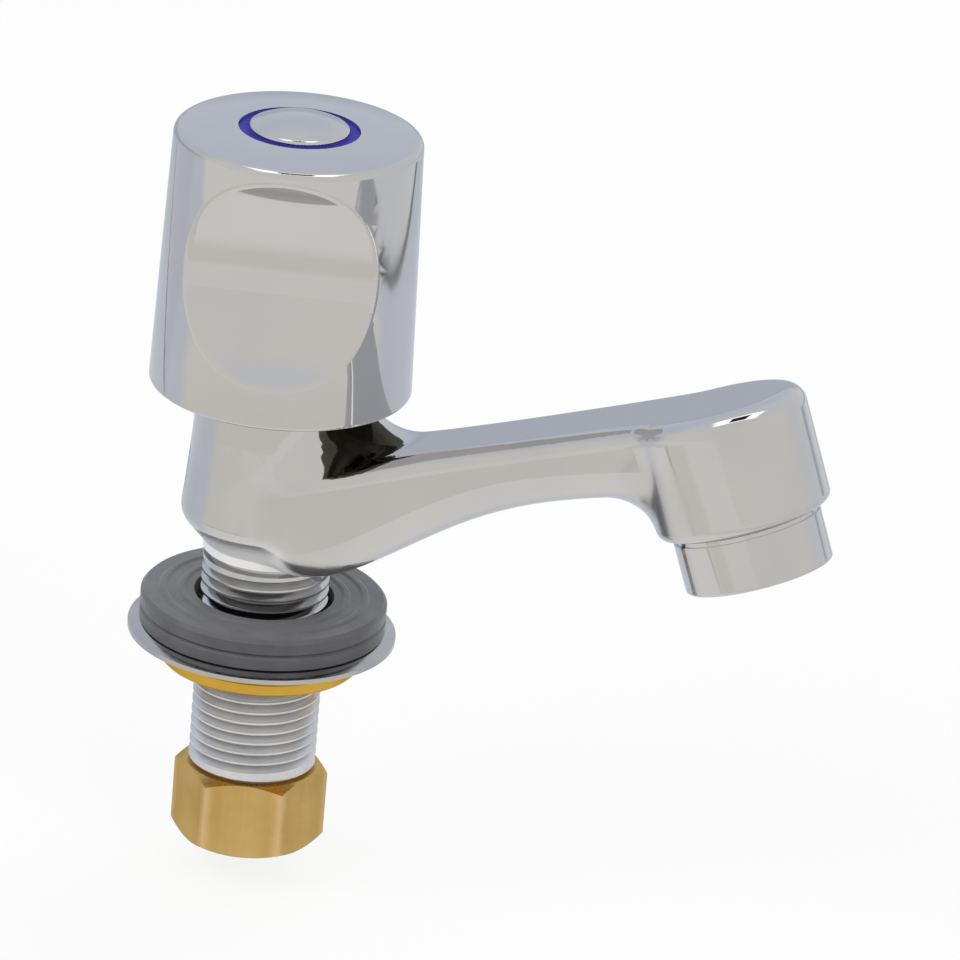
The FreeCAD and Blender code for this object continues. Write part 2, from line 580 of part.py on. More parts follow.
def ring_edge(radius, height):
    """Test for a full circle of this radius at this height."""
    def wanted(solid, edge):
        if edge.Degenerated:
            return False
        curve = edge.Curve
        return (isinstance(curve, Part.Circle)
                and abs(curve.Radius - size(radius)) < 1e-3
                and abs(curve.Center.z - size(height)) < 1e-3)
    return wanted


def finish(body):
    doc.recompute()
    return body


# Threaded tail with the valve seat on its upper end

tail = new_body("threaded_tail")
turned(tail, "tail_profile", [
    ("tail_bore_r", "tail_end_z"), ("tail_lead_r", "tail_end_z"), ("thread_r", "tail_lead_z"),
    ("thread_r", "relief_z"), ("relief_r", "relief_z"), ("relief_r", "zero"),
    ("spigot_r", "zero"), ("spigot_r", "spigot_len"), ("seat_lip_r", "spigot_len"),
    ("seat_lip_r", "seat_top_z"), ("seat_bore_r", "seat_top_z"), ("seat_bore_r", "seat_floor"),
    ("tail_bore_r", "seat_floor")])
groove = new_sketch(tail, "XZ_Plane", "thread_groove")
outline(groove, [
    ("thread_root_r", "thread_start_z"), ("thread_cut_r", "thread_lo_z"),
    ("thread_cut_r", "thread_hi_z")])
helix = tail.newObject("PartDesign::SubtractiveHelix", "tail_thread")
helix.Profile = groove
helix.ReferenceAxis = (groove, ["V_Axis"])
helix.Mode = 0
helix.setExpression("Pitch", "Sizes.thread_pitch")
helix.setExpression("Height", "Sizes.thread_len")
helix.Reversed = True
groove.Visibility = False
finish(tail)

# Brass inlet adapter under the tail, and its O-ring

adapter = new_body("inlet_adapter")
hexagon(adapter, "adapter_hex", "adapter_corner", "adapter_end_z", "Sizes.adapter_h",
        turned_by="adapter_turned")
turned(adapter, "adapter_spigot", [
    (None, "adapter_socket_z"), ("adapter_spigot_r", "adapter_socket_z"),
    ("adapter_spigot_r", "inlet_groove_lo"), ("inlet_groove_r", "inlet_groove_lo"),
    ("inlet_groove_r", "inlet_groove_hi"), ("adapter_spigot_r", "inlet_groove_hi"),
    ("adapter_spigot_r", "adapter_top_z"), (None, "adapter_top_z")])
turned(adapter, "adapter_bore", [
    (None, "adapter_end_z"), ("adapter_mouth_r", "adapter_end_z"),
    ("adapter_socket_r", "adapter_mouth_z"), ("adapter_socket_r", "adapter_socket_z"),
    ("adapter_bore_r", "adapter_socket_z"), ("adapter_bore_r", "adapter_top_z"),
    (None, "adapter_top_z")], cut=True)
turned(adapter, "adapter_top_bevel", [
    ("adapter_face_r", "tail_end_z"), ("adapter_cut_r", "adapter_cut_hi"),
    ("adapter_cut_r", "tail_end_z")], cut=True)
turned(adapter, "adapter_low_bevel", [
    ("adapter_face_r", "adapter_end_z"), ("adapter_cut_r", "adapter_end_z"),
    ("adapter_cut_r", "adapter_cut_lo")], cut=True)
finish(adapter)


def torus(label, mid, section, height):
    """O-ring of round section."""
    ring = doc.addObject("Part::Torus", label)
    ring.Label = label
    ring.setExpression("Radius1", "Sizes.%s" % mid)
    ring.setExpression("Radius2", "Sizes.%s" % section)
    ring.setExpression("Placement.Base.z", "Sizes.%s" % height)
    return ring


inlet_ring = torus("inlet_o_ring", "inlet_ring_mid_r", "inlet_ring_r", "inlet_ring_z")

# Rubber washers, cup washer and back nut

for label in ("upper_rubber", "lower_rubber"):
    washer = new_body(label + "_washer")
    profile = new_sketch(washer, "XZ_Plane", label + "_profile")
    outline(profile, [
        ("rubber_bore_r", "zero"), ("rubber_r", "zero"), ("rubber_r", "rubber_bevel"),
        ("rubber_in_r", "rubber_flat"), ("ridge_two_c", "rubber_flat"), ("ridge_two_b", "rubber_h"),
        ("ridge_two_r", "rubber_h"), ("ridge_two_a", "rubber_flat"), ("ridge_one_c", "rubber_flat"),
        ("ridge_one_b", "rubber_h"), ("ridge_one_r", "rubber_h"), ("ridge_one_a", "rubber_flat"),
        ("rubber_bore_r", "rubber_flat")])
    spin(washer, "PartDesign::Revolution", profile)
    washer.setExpression("Placement.Base.z", "Sizes.%s_z" % label)
    finish(washer)

cup = new_body("cup_washer")
turned(cup, "cup_profile", [
    ("cup_bore_r", "lower_rubber_z"), ("cup_flat_r", "lower_rubber_z"), ("cup_r", "cup_rim_z"),
    ("cup_r", "cup_rim_low_z"), ("cup_flat_r", "cup_low_z"), ("cup_bore_r", "cup_low_z")])
finish(cup)

nut = new_body("back_nut")
hexagon(nut, "nut_hex", "nut_corner", "nut_flange_z", "Sizes.nut_hex_h")
turned(nut, "nut_flange", [
    (None, "nut_end_z"), ("flange_in_r", "nut_end_z"), ("flange_r", "flange_lo_z"),
    ("flange_r", "flange_hi_z"), ("flange_in_r", "nut_flange_z"), (None, "nut_flange_z")])
turned(nut, "nut_bore", [
    (None, "nut_end_z"), ("nut_lead_r", "nut_end_z"), ("nut_bore_r", "flange_lo_z"),
    ("nut_bore_r", "cup_low_z"), (None, "cup_low_z")], cut=True)
turned(nut, "nut_bevel", [
    ("nut_face_r", "cup_low_z"), ("nut_cut_r", "nut_cut_z"), ("nut_cut_r", "cup_low_z")], cut=True)
finish(nut)

# Cast body with the rising spout arm and the outlet head


def arm_section(body, label, station, width, low):
    """Rounded section square to the arm at a named distance along it."""
    sketch = new_sketch(body, "YZ_Plane", label)
    sketch.setExpression(
        "AttachmentOffset.Base.z", "Sizes.%s * cos(Sizes.arm_angle * 1deg)" % station)
    sketch.setExpression(
        "AttachmentOffset.Base.y",
        "Sizes.arm_base_z + Sizes.%s * sin(Sizes.arm_angle * 1deg)" % station)
    sketch.AttachmentOffset = FreeCAD.Placement(
        sketch.AttachmentOffset.Base, FreeCAD.Rotation(FreeCAD.Vector(1, 0, 0), -size("arm_angle")))
    sketch.setExpression("AttachmentOffset.Rotation.Angle", "-Sizes.arm_angle * 1deg")
    half = size(width) / 2
    top = size("arm_top")
    base = -size(low)
    shoulder = size("arm_shoulder")
    keel = size("arm_keel")
    # Corners run from the lower right, upwards and round to the left
    plan = [(half, base, keel), (half, top, shoulder), (-half, top, shoulder), (-half, base, keel)]
    starts = []
    for i, (x, y, radius) in enumerate(plan):
        turn = math.radians(-90 + 90 * i)
        centre = FreeCAD.Vector(
            x - math.copysign(radius, x), y - math.copysign(radius, y if i in (1, 2) else -1), 0)
        rim = Part.Circle(centre, FreeCAD.Vector(0, 0, 1), radius)
        arc = sketch.addGeometry(Part.ArcOfCircle(rim, turn, turn + math.pi / 2), False)
        starts.append(arc)
    sides = []
    for i, arc in enumerate(starts):
        after = starts[(i + 1) % 4]
        sides.append(sketch.addGeometry(
            Part.LineSegment(sketch.getPoint(arc, 2), sketch.getPoint(after, 1)), False))
    for i, arc in enumerate(starts):
        after = starts[(i + 1) % 4]
        sketch.addConstraint(Sketcher.Constraint("Tangent", arc, 2, sides[i], 1))
        sketch.addConstraint(Sketcher.Constraint("Tangent", sides[i], 2, after, 1))
    for i, kind in ((0, "Vertical"), (1, "Horizontal"), (2, "Vertical"), (3, "Horizontal")):
        sketch.addConstraint(Sketcher.Constraint(kind, sides[i]))
    index = sketch.addConstraint(Sketcher.Constraint("DistanceX", -1, 1, sides[0], 2, half))
    sketch.setExpression("Constraints[%d]" % index, "Sizes.%s / 2" % width)
    for i, alias in ((0, "arm_keel"), (1, "arm_shoulder"), (2, "arm_shoulder"), (3, "arm_keel")):
        index = sketch.addConstraint(Sketcher.Constraint("Radius", starts[i], size(alias)))
        bind(sketch, index, alias)
    index = sketch.addConstraint(
        Sketcher.Constraint("DistanceX", sides[2], 1, sides[0], 2, size(width)))
    bind(sketch, index, width)
    index = sketch.addConstraint(Sketcher.Constraint("DistanceY", -1, 1, sides[1], 1, top))
    bind(sketch, index, "arm_top")
    index = sketch.addConstraint(Sketcher.Constraint("DistanceY", sides[3], 1, -1, 1, size(low)))
    bind(sketch, index, low)
    return sketch


def tilted(body, label, corners, arcs=None, cut=False):
    """Turn a profile round the outlet's own axis."""
    sketch = new_sketch(body, "XZ_Plane", label)
    sketch.AttachmentOffset = FreeCAD.Placement(
        FreeCAD.Vector(), FreeCAD.Rotation(FreeCAD.Vector(0, 0, 1), size("arm_angle")))
    sketch.setExpression("AttachmentOffset.Rotation.Angle", "Sizes.arm_angle * 1deg")
    sketch.setExpression("AttachmentOffset.Base.x", "Sizes.head_x")
    sketch.setExpression("AttachmentOffset.Base.y", "Sizes.head_z")
    outline(sketch, corners, arcs)
    return spin(body, "PartDesign::Groove" if cut else "PartDesign::Revolution", sketch)


cast = new_body("spout_body")
turned(cast, "trunk_profile", [
    (None, "zero"), ("foot_r", "zero"), ("foot_r", "foot_h"), ("belly_r", "belly_z"),
    ("neck_r", "neck_z"), ("neck_r", "body_top_z"), (None, "body_top_z")])
doc.recompute()
soften(cast, cast.Tip, "belly_edge", ring_edge("belly_r", "belly_z"))
sections = [
    arm_section(cast, "arm_%s" % name, name + "_s", name + "_w", name + "_low")
    for name in ("start", "root", "haunch", "mid", "throat", "tip")]
arm = cast.newObject("PartDesign::AdditiveLoft", "arm")
arm.Profile = sections[0]
arm.Sections = sections[1:]
doc.recompute()
head = tilted(cast, "head_profile", [
    (None, "zero"), ("head_foot_r", "zero"), ("head_r", "head_lip"), ("head_r", "head_side_h"),
    ("head_flat_r", "head_h"), (None, "head_h")],
    arcs={1: ("head_lip", 1), 3: ("head_round", 1)})
doc.recompute()


def meets_arm(solid, edge):
    """Test for an edge between the arm's skin and another surface."""
    sides = solid.ancestorsOfType(edge, Part.Face)
    skins = [side.Surface.TypeId == "Part::GeomBSplineSurface" for side in sides]
    return len(skins) == 2 and skins[0] != skins[1] and not isinstance(edge.Curve, Part.Line)


soften(cast, head, "head_blend", lambda solid, edge: (
    meets_arm(solid, edge) and edge.BoundBox.XMin > size("mid_s")))
doc.recompute()
soften(cast, cast.Tip, "arm_blend", lambda solid, edge: (
    meets_arm(solid, edge) and edge.BoundBox.XMax < size("haunch_s")
    and edge.BoundBox.ZMax > size("belly_z") + size("arm_blend")))
doc.recompute()
tilted(cast, "nipple_profile", [
    (None, "nipple_end_z"), ("nipple_r", "nipple_end_z"), ("nipple_r", "nipple_top_z"),
    (None, "nipple_top_z")])
turned(cast, "valve_chamber", [
    (None, "zero"), ("spigot_bore_r", "zero"), ("spigot_bore_r", "spigot_len"),
    ("chamber_r", "spigot_len"),
    ("chamber_r", "body_top_z"), (None, "body_top_z")], cut=True)
way = new_sketch(cast, "YZ_Plane", "arm_way")
way.AttachmentOffset = FreeCAD.Placement(
    FreeCAD.Vector(), FreeCAD.Rotation(FreeCAD.Vector(1, 0, 0), -size("arm_angle")))
way.setExpression("AttachmentOffset.Rotation.Angle", "-Sizes.arm_angle * 1deg")
way.setExpression("AttachmentOffset.Base.z", "Sizes.arm_way_from * cos(Sizes.arm_angle * 1deg)")
way.setExpression(
    "AttachmentOffset.Base.y",
    "Sizes.arm_base_z + Sizes.arm_way_from * sin(Sizes.arm_angle * 1deg)")
circle_at(way, None, "arm_way_r")
extrude(cast, "PartDesign::Pocket", way, "Sizes.arm_way_len", reverse=True)
tilted(cast, "outlet_chamber", [
    (None, "nipple_end_z"), ("outlet_bore_r", "nipple_end_z"), ("outlet_bore_r", "outlet_bore_h"),
    (None, "outlet_bore_h")], cut=True)
finish(cast)

# Headwork: bonnet, its seal, spindle, O-rings and circlip

bonnet = new_body("bonnet")
turned(bonnet, "bonnet_profile", [
    (None, "bonnet_low_z"), ("bonnet_skirt_r", "bonnet_low_z"), ("bonnet_skirt_r", "bonnet_seat_z"),
    ("bonnet_neck_r", "bonnet_seat_z"), ("bonnet_neck_r", "bonnet_top_z"), (None, "bonnet_top_z")])
hexagon(bonnet, "bonnet_hex", "bonnet_corner", "bonnet_seat_z", "Sizes.bonnet_hex_h")
turned(bonnet, "bonnet_bevel", [
    ("bonnet_face_r", "bonnet_hex_z"), ("bonnet_cut_r", "bonnet_cut_z"),
    ("bonnet_cut_r", "bonnet_hex_z")], cut=True)
hexagon(bonnet, "bonnet_guide", "guide_corner", "bonnet_low_z",
        "Sizes.guide_top_z - Sizes.bonnet_low_z", cut=True)
turned(bonnet, "bonnet_bore", [
    (None, "guide_top_z"), ("collar_room_r", "guide_top_z"), ("collar_room_r", "collar_room_z"),
    ("spindle_bore_r", "collar_room_z"), ("spindle_bore_r", "bonnet_top_z"),
    (None, "bonnet_top_z")], cut=True)
finish(bonnet)

seal = new_body("bonnet_seal")
turned(seal, "bonnet_seal_profile", [
    ("chamber_r", "body_top_z"), ("bonnet_seal_r", "body_top_z"),
    ("bonnet_seal_r", "bonnet_seat_z"), ("chamber_r", "bonnet_seat_z")])
finish(seal)

spindle = new_body("spindle")
turned(spindle, "spindle_profile", [
    (None, "stem_low_z"), ("stem_r", "stem_low_z"), ("stem_r", "collar_low_z"),
    ("collar_r", "collar_low_z"), ("collar_r", "collar_top_z"), ("journal_r", "collar_top_z"),
    ("journal_r", "ring_one_lo"), ("stem_groove_r", "ring_one_lo"), ("stem_groove_r", "ring_one_hi"),
    ("journal_r", "ring_one_hi"), ("journal_r", "ring_two_lo"), ("stem_groove_r", "ring_two_lo"),
    ("stem_groove_r", "ring_two_hi"), ("journal_r", "ring_two_hi"), ("journal_r", "clip_low_z"),
    ("clip_bore_r", "clip_low_z"), ("clip_bore_r", "clip_top_z"), ("journal_r", "clip_top_z"),
    ("journal_r", "journal_top_z"), ("spline_r", "journal_top_z"), ("spline_r", "spindle_top_z"),
    (None, "spindle_top_z")])
turned(spindle, "spindle_tapping", [
    (None, "tap_low_z"), ("tap_r", "tap_low_z"), ("tap_r", "spindle_top_z"),
    (None, "spindle_top_z")], cut=True)
spline = new_sketch(spindle, "XY_Plane", "spline_groove")
spline.setExpression("AttachmentOffset.Base.z", "Sizes.spindle_top_z")
outline(spline, [
    ("spline_root_r", "zero"), ("spline_out_r", "spline_down"), ("spline_out_r", "spline_out_half")])
spline_cut = extrude(spindle, "PartDesign::Pocket", spline, "Sizes.spline_len")
doc.recompute()
around(spindle, spline_cut, SPLINES)
finish(spindle)

rings = doc.addObject("Part::MultiFuse", "spindle_o_rings")
rings.Shapes = [
    torus("stem_ring_one", "stem_ring_mid_r", "stem_ring_r", "stem_ring_one_z"),
    torus("stem_ring_two", "stem_ring_mid_r", "stem_ring_r", "stem_ring_two_z")]
rings.Label = "spindle_o_rings"

clip = new_body("spindle_circlip")
turned(clip, "clip_profile", [
    ("clip_bore_r", "clip_low_z"), ("clip_r", "clip_low_z"), ("clip_r", "clip_top_z"),
    ("clip_bore_r", "clip_top_z")])
mouth = new_sketch(clip, "XY_Plane", "clip_opening")
mouth.setExpression("AttachmentOffset.Base.z", "Sizes.clip_top_z")
outline(mouth, [
    ("zero", "clip_down"), ("clip_reach", "clip_down"), ("clip_reach", "clip_half"),
    ("zero", "clip_half")])
extrude(clip, "PartDesign::Pocket", mouth, "Sizes.clip_h")
finish(clip)

# Valve: carrier, jumper washer and its screw

carrier = new_body("valve_carrier")
turned(carrier, "carrier_disc", [
    (None, "carrier_low_z"), ("carrier_disc_r", "carrier_low_z"), ("carrier_disc_r", "carrier_disc_z"),
    (None, "carrier_disc_z")])
hexagon(carrier, "carrier_hex", "carrier_corner", "carrier_disc_z", "Sizes.carrier_hex_h")
turned(carrier, "carrier_bore", [
    (None, "carrier_bore_z"), ("carrier_bore_r", "carrier_bore_z"), ("carrier_bore_r", "carrier_top_z"),
    (None, "carrier_top_z")], cut=True)
turned(carrier, "carrier_screw_hole", [
    (None, "carrier_low_z"), ("jumper_screw_r", "carrier_low_z"), ("jumper_screw_r", "carrier_screw_z"),
    (None, "carrier_screw_z")], cut=True)
finish(carrier)

jumper = new_body("jumper_washer")
turned(jumper, "jumper_profile", [
    ("jumper_screw_r", "seat_top_z"), ("jumper_r", "seat_top_z"), ("jumper_r", "carrier_low_z"),
    ("jumper_screw_r", "carrier_low_z")])
finish(jumper)

jumper_screw = new_body("jumper_screw")
turned(jumper_screw, "jumper_screw_profile", [
    (None, "jumper_head_z"), ("jumper_head_r", "jumper_head_z"), ("jumper_head_r", "seat_top_z"),
    ("jumper_screw_r", "seat_top_z"), ("jumper_screw_r", "carrier_screw_z"), (None, "carrier_screw_z")])
finish(jumper_screw)

# Handle with its two finger dishes, splined bush and screw

shell = new_body("handle_shell")
turned(shell, "handle_profile", [
    ("skirt_r", "handle_low_z"), ("handle_low_r", "handle_low_z"), ("handle_top_r", "handle_top_z"),
    ("index_r", "crown_z"), ("index_r", "index_floor_z"), ("plug_r", "index_floor_z"),
    ("plug_r", "bush_top_z"), ("bush_r", "bush_top_z"), ("bush_r", "neck_room_z"),
    ("neck_room_r", "neck_room_z"), ("neck_room_r", "hex_room_z"), ("hex_room_r", "hex_room_z"),
    ("hex_room_r", "skirt_z"), ("skirt_r", "skirt_z")], arcs={2: ("handle_crown_r", 1)})
dish = new_sketch(shell, "XZ_Plane", "dish_profile")
round_cut = dish.addGeometry(
    Part.Circle(FreeCAD.Vector(size("dish_far"), size("dish_z"), 0), FreeCAD.Vector(0, 0, 1),
                size("dish_round")), False)
bind(dish, dish.addConstraint(
    Sketcher.Constraint("DistanceX", -1, 1, round_cut, 3, size("dish_far"))), "dish_far")
bind(dish, dish.addConstraint(
    Sketcher.Constraint("DistanceY", -1, 1, round_cut, 3, size("dish_z"))), "dish_z")
bind(dish, dish.addConstraint(
    Sketcher.Constraint("Radius", round_cut, size("dish_round"))), "dish_round")
dish_cut = extrude(shell, "PartDesign::Pocket", dish, "Sizes.dish_span", midplane=True)
doc.recompute()
around(shell, dish_cut, DISHES)
doc.recompute()


def dish_rim(solid, edge):
    """Test for an edge between a dish and the handle's outside."""
    sides = solid.ancestorsOfType(edge, Part.Face)
    kinds = [side.Surface.TypeId for side in sides]
    radii = [side.Surface.Radius for side in sides if isinstance(side.Surface, Part.Cylinder)]
    on_dish = any(abs(radius - size("dish_round")) < 1e-3 for radius in radii)
    return on_dish and "Part::GeomCone" in kinds


soften(shell, shell.Tip, "dish_edge", dish_rim)
doc.recompute()
soften(shell, shell.Tip, "handle_edge", ring_edge("handle_top_r", "handle_top_z"))
doc.recompute()
soften(shell, shell.Tip, "handle_hem", ring_edge("handle_low_r", "handle_low_z"))
shell.setExpression("Placement.Rotation.Angle", "Sizes.handle_turned * 1deg")
finish(shell)

bush = new_body("handle_bush")
turned(bush, "bush_profile", [
    ("bush_spline_r", "neck_room_z"), ("bush_r", "neck_room_z"), ("bush_r", "bush_top_z"),
    ("bush_hole_r", "bush_top_z"), ("bush_hole_r", "bush_room_z"), ("bush_spline_r", "bush_room_z")])
finish(bush)

screw = new_body("handle_screw")
turned(screw, "screw_profile", [
    (None, "screw_low_z"), ("screw_r", "screw_low_z"), ("screw_r", "bush_top_z"),
    ("screw_head_r", "bush_top_z"), ("screw_head_r", "screw_head_z"), (None, "screw_head_z")])
slot = new_sketch(screw, "XY_Plane", "screw_slot")
slot.setExpression("AttachmentOffset.Base.z", "Sizes.screw_head_z")
outline(slot, [
    ("slot_left", "slot_down"), ("slot_right", "slot_down"), ("slot_right", "slot_half"),
    ("slot_left", "slot_half")])
extrude(screw, "PartDesign::Pocket", slot, "Sizes.slot_d")
finish(screw)

# Index ring and button

index = new_body("index_ring")
turned(index, "index_profile", [
    ("plug_r", "index_floor_z"), ("index_ring_r", "index_floor_z"), ("index_ring_r", "index_ring_z"),
    ("plug_r", "index_ring_z")])
finish(index)

button = new_body("index_button")
turned(button, "button_profile", [
    ("plug_in_r", "plug_low_z"), ("plug_out_r", "plug_low_z"), ("plug_out_r", "button_low_z"),
    ("button_r", "button_low_z"), ("button_r", "button_rim_z"), (None, "button_top_z"),
    (None, "plug_top_z"), ("plug_in_r", "plug_top_z")], arcs={4: ("button_dome_r", 1)})
doc.recompute()
soften(button, button.Tip, "button_edge", ring_edge("button_r", "button_rim_z"))
finish(button)

# Aerator: housing, insert, screen and washer, modelled upright and set on the tilted outlet


def on_outlet(item):
    item.setExpression("Placement.Base.x", "Sizes.head_x")
    item.setExpression("Placement.Base.z", "Sizes.head_z")
    item.Placement = FreeCAD.Placement(
        item.Placement.Base, FreeCAD.Rotation(FreeCAD.Vector(0, 1, 0), -size("arm_angle")))
    item.setExpression("Placement.Rotation.Angle", "-Sizes.arm_angle * 1deg")
    return finish(item)


def drilled(body, label, across, radius, count, top, depth):
    """Ring of holes through a plate, from its top face."""
    sketch = new_sketch(body, "XY_Plane", label)
    sketch.setExpression("AttachmentOffset.Base.z", "Sizes.%s" % top)
    circle_at(sketch, across, radius)
    hole = extrude(body, "PartDesign::Pocket", sketch, "Sizes.%s" % depth)
    if count > 1:
        doc.recompute()
        around(body, hole, count)


housing = new_body("aerator_housing")
turned(housing, "housing_profile", [
    ("housing_bore_r", "housing_hi_z"), ("housing_step_r", "housing_hi_z"),
    ("housing_step_r", "housing_step_z"), ("housing_r", "housing_step_z"),
    ("housing_r", "housing_lo_z"), ("housing_lip_r", "housing_lo_z"),
    ("housing_lip_r", "housing_floor_z"), ("insert_bore_r", "housing_floor_z"),
    ("insert_bore_r", "housing_ledge_z"), ("housing_bore_r", "housing_ledge_z")])
doc.recompute()
soften(housing, housing.Tip, "housing_hem", ring_edge("housing_r", "housing_lo_z"))
on_outlet(housing)

screen = new_body("aerator_screen")
turned(screen, "screen_profile", [
    (None, "screen_low_z"), ("insert_r", "screen_low_z"), ("insert_r", "screen_top_z"),
    (None, "screen_top_z")])
for ring, (across, count) in enumerate(SCREEN_RINGS):
    drilled(screen, "screen_holes_%d" % ring, across, "screen_hole_r", count,
            "screen_top_z", "screen_h")
on_outlet(screen)

insert = new_body("aerator_insert")
turned(insert, "insert_profile", [
    (None, "screen_top_z"), ("insert_r", "screen_top_z"), ("insert_r", "insert_top_z"),
    (None, "insert_top_z")])
for ring, (across, count) in enumerate(JET_RINGS):
    drilled(insert, "insert_holes_%d" % ring, across, "jet_r", count,
            "insert_top_z", "insert_h")
on_outlet(insert)

outlet_seal = new_body("aerator_washer")
turned(outlet_seal, "outlet_seal_profile", [
    ("seal_in_r", "insert_top_z"), ("seal_out_r", "insert_top_z"), ("seal_out_r", "nipple_end_z"),
    ("seal_in_r", "nipple_end_z")])
on_outlet(outlet_seal)

doc.recompute()

# Write one file for each piece

NODES = [
    "spout_body", "threaded_tail", "inlet_adapter", "inlet_o_ring", "upper_rubber_washer",
    "lower_rubber_washer", "cup_washer", "back_nut", "bonnet", "bonnet_seal", "spindle",
    "spindle_o_rings", "spindle_circlip", "valve_carrier", "jumper_washer", "jumper_screw",
    "handle_shell", "handle_bush", "handle_screw", "index_ring", "index_button",
    "aerator_housing", "aerator_insert", "aerator_screen", "aerator_washer",
]

for item in doc.Objects:
    if "Invalid" in item.State or "Error" in item.State:
        raise RuntimeError("%s does not build: %s" % (item.Label, item.State))

os.makedirs("parts", exist_ok=True)
for label in NODES:
    item = doc.getObjectsByLabel(label)[0]
    if item.Shape.isNull() or not item.Shape.isValid():
        raise RuntimeError("%s has no valid shape" % label)
    item.Shape.exportStep("parts/%s.step" % label)
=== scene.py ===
"""Looks of the basin tap: materials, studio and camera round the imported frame."""

import math

import bpy
from mathutils import Matrix, Vector

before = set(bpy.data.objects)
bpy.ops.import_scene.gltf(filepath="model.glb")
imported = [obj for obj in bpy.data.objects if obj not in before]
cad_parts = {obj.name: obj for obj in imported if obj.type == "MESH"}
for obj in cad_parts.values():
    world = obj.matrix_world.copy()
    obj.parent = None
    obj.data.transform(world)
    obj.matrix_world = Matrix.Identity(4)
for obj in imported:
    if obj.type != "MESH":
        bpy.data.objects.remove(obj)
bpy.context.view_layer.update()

MM = 0.001
WHITE = (1.0, 1.0, 1.0)

# Camera, found from the photograph's own perspective. Angles in degrees, lens and sensor as Blender
# counts them, the rest in metres
CAMERA_AZIMUTH = 30.0
CAMERA_PITCH = 22.28
CAMERA_YAW = 1.69
CAMERA_ROLL = 4.37
CAMERA_DISTANCE = 1.1365
CAMERA_AIM_Z = 0.0145
CAMERA_LENS = 262.5
SENSOR = 36.0
CLIP_NEAR = 0.05
CLIP_FAR = 50.0

# The studio's own axes: away from the camera along the table, to its right, and up
AWAY = (-0.5, 0.866, 0.0)
RIGHT = (0.866, 0.5, 0.0)
UP = (0.0, 0.0, 1.0)

# Soft lamps, as name, place, width in metres and power in watts, and the spot that all are turned to
LAMPS = (("key", (-0.5, -0.9, 0.9), 0.7, 6.0),
         ("fill", (0.9, -0.5, 0.6), 0.6, 3.0),
         ("back", (0.1, 0.9, 0.8), 0.8, 3.0))
LAMPS_AIM = (0.03, 0.0, 0.01)

# The plain light all round
LIGHT = (0.98, 0.99, 1.0)
LIGHT_STRENGTH = 0.6

# The kinds of ray that show the room and the table drawn as a painted reflection
MIRRORED = ("Is Glossy Ray", "Is Transmission Ray")

# The room that polished metal mirrors: warm white in front, blue-grey behind, lighter overhead
WARM = (0.86, 0.835, 0.80)
HORIZON = (0.50, 0.53, 0.60)
COOL_HIGH = (0.69, 0.73, 0.83)
CEILING = (0.79, 0.81, 0.87)
SOFT_BOX = (2.0, 2.0, 2.0)
DARK = (0.03, 0.028, 0.025)

# Where the room's colours begin and are full, as parts of a direction's length along one axis
SKY_STOPS = (0.0, 0.08, 0.26)
SIDE_FROM = (0.12, 0.40)
BACK_FROM = (-0.15, 0.35)
CEILING_FROM = (0.60, 0.95)
OVERHEAD_FROM = (0.5, 0.6)

# The soft box overhead and the dark opening in it, as low edge, high edge and softness
BOX_ACROSS = (-0.40, 0.40, 0.05)
BOX_ALONG = (-0.36, 0.10, 0.03)
OPENING_ACROSS = (-0.16, 0.16, 0.01)
OPENING_ALONG = (-0.31, 0.02, 0.01)

# The floor lies under the lowest place that the adapter reaches as it unscrews. Its painted
# reflection, which metal mirrors, is drawn a little larger for that
FLOOR_Z = -57.5 * MM
FLOOR_SIZE = 4.0
DRAWN_FOR = 0.935
FLOOR_COLOUR = (0.93, 0.93, 0.93)
FLOOR_ROUGH = 0.8
FLOOR_VEIL = 0.85

# A painted reflection: for the rays that metal mirrors, the floor glows with a picture of a round
# white mat under the tap, the paper round it and the table beside the paper
MAT = (0.93, 0.915, 0.89)
MAT_RIM = (0.60, 0.56, 0.49)
PAPER = (0.83, 0.805, 0.755)
PAPER_FAR = (0.905, 0.878, 0.852)
SHADOWED_BEHIND = (0.72, 0.745, 0.81)
BESIDE_LEFT = (0.68, 0.69, 0.755)
BESIDE_RIGHT = (0.80, 0.805, 0.835)
BLUR = (0.16, 0.16, 0.165)

# Where these lie, in metres. The mat fades round its edge and has a rim on its two sides
MAT_R = 0.150
MAT_FADE = (MAT_R - 0.025, MAT_R + 0.040)
RIM = (MAT_R, MAT_R + 0.010, 0.004)
RIM_FROM = (0.06, 0.10)
PAPER_FAR_FROM = (MAT_R + 0.09, MAT_R + 0.18)

# Further back the floor turns cooler, in two steps, the second over everything. The first step is
# also darker: a painted shadow of the tap
SHADOWED_BEHIND_FROM = (-0.03, 0.03)
HORIZON_FROM = (0.12, 0.50)
HORIZON_LAST = (0.45, 0.80)

# In the painted reflection the paper's edges begin behind the tap: a thin dark line at the left, a
# blurred one at the right, which runs a little askew
EDGES_FROM = (0.08, 0.12)
PAPER_LEFT = -0.211
LEFT_FADE = (PAPER_LEFT - 0.002, PAPER_LEFT)
LEFT_LINE = (PAPER_LEFT - 0.003, PAPER_LEFT, 0.0006)
PAPER_RIGHT = 0.330
PAPER_SKEW = 0.35
RIGHT_FADE = (PAPER_RIGHT, PAPER_RIGHT + 0.02)
RIGHT_LINE = (PAPER_RIGHT, PAPER_RIGHT + 0.012, 0.007)

# A noise's value mostly lies between these
NOISE = (0.3, 0.7)

